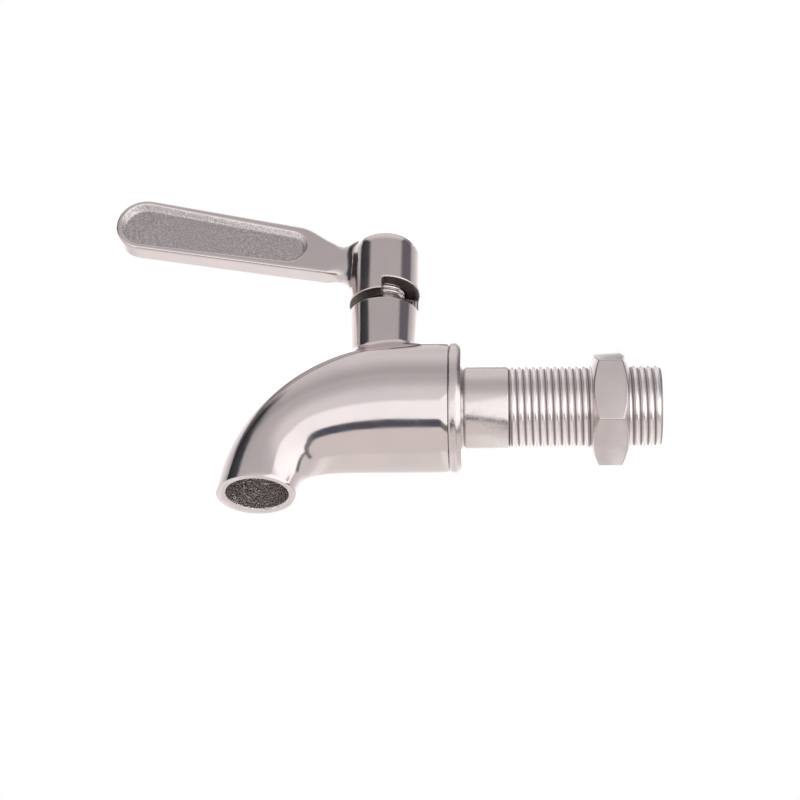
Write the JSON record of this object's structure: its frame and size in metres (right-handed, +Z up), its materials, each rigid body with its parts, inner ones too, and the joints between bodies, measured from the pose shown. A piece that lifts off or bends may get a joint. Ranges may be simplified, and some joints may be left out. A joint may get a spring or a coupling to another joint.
{
  "type": "beverage dispenser spigot",
  "caption": "Polished steel dispenser tap with a curved spout, a quarter-turn ball valve worked by a lever, and a threaded shank with a lock nut for a vessel wall.",
  "frame": {"origin": "centre of the flange's wall-side face, on the shank's axis", "axes": "+X along the shank into the vessel, +Z up the valve neck; the spout and the lever point to -X at rest, with the valve open"},
  "size_m": [0.1036, 0.0242, 0.0649],
  "materials": {
    "cast_steel_polished": "mirror-polished investment-cast 304 stainless steel",
    "cast_steel_lever": "polished cast stainless steel with a sand-textured recess",
    "turned_steel": "bright turned stainless steel",
    "nut_steel": "satin turned stainless steel",
    "ball_steel": "mirror-ground stainless steel",
    "valve_ptfe": "white moulded PTFE",
    "oring_rubber": "black nitrile rubber"
  },
  "bodies": {
    "tap_body": {"spout_body": "cast_steel_polished", "stop_pin": "turned_steel", "threaded_shank": "turned_steel", "shank_oring": "oring_rubber", "front_seat": "valve_ptfe", "rear_seat": "valve_ptfe", "gland_nut": "turned_steel", "thrust_washer": "valve_ptfe"},
    "lever_set": {"lever": "cast_steel_lever", "set_screw": "turned_steel", "stem": "turned_steel", "stem_oring_lower": "oring_rubber", "stem_oring_upper": "oring_rubber", "ball": "ball_steel"},
    "nut": {"lock_nut": "nut_steel"}
  },
  "joints": [
    {"name": "lever_turn", "type": "hinge", "parent": "tap_body", "child": "lever_set", "pos_m": [-0.01473, 0, 0], "axis": [0, 0, 1], "range_deg": [0, 90]},
    {"name": "nut_travel", "type": "slide", "parent": "tap_body", "child": "nut", "axis": [1, 0, 0], "range_m": [-0.0143, 0.035]}
  ]
}
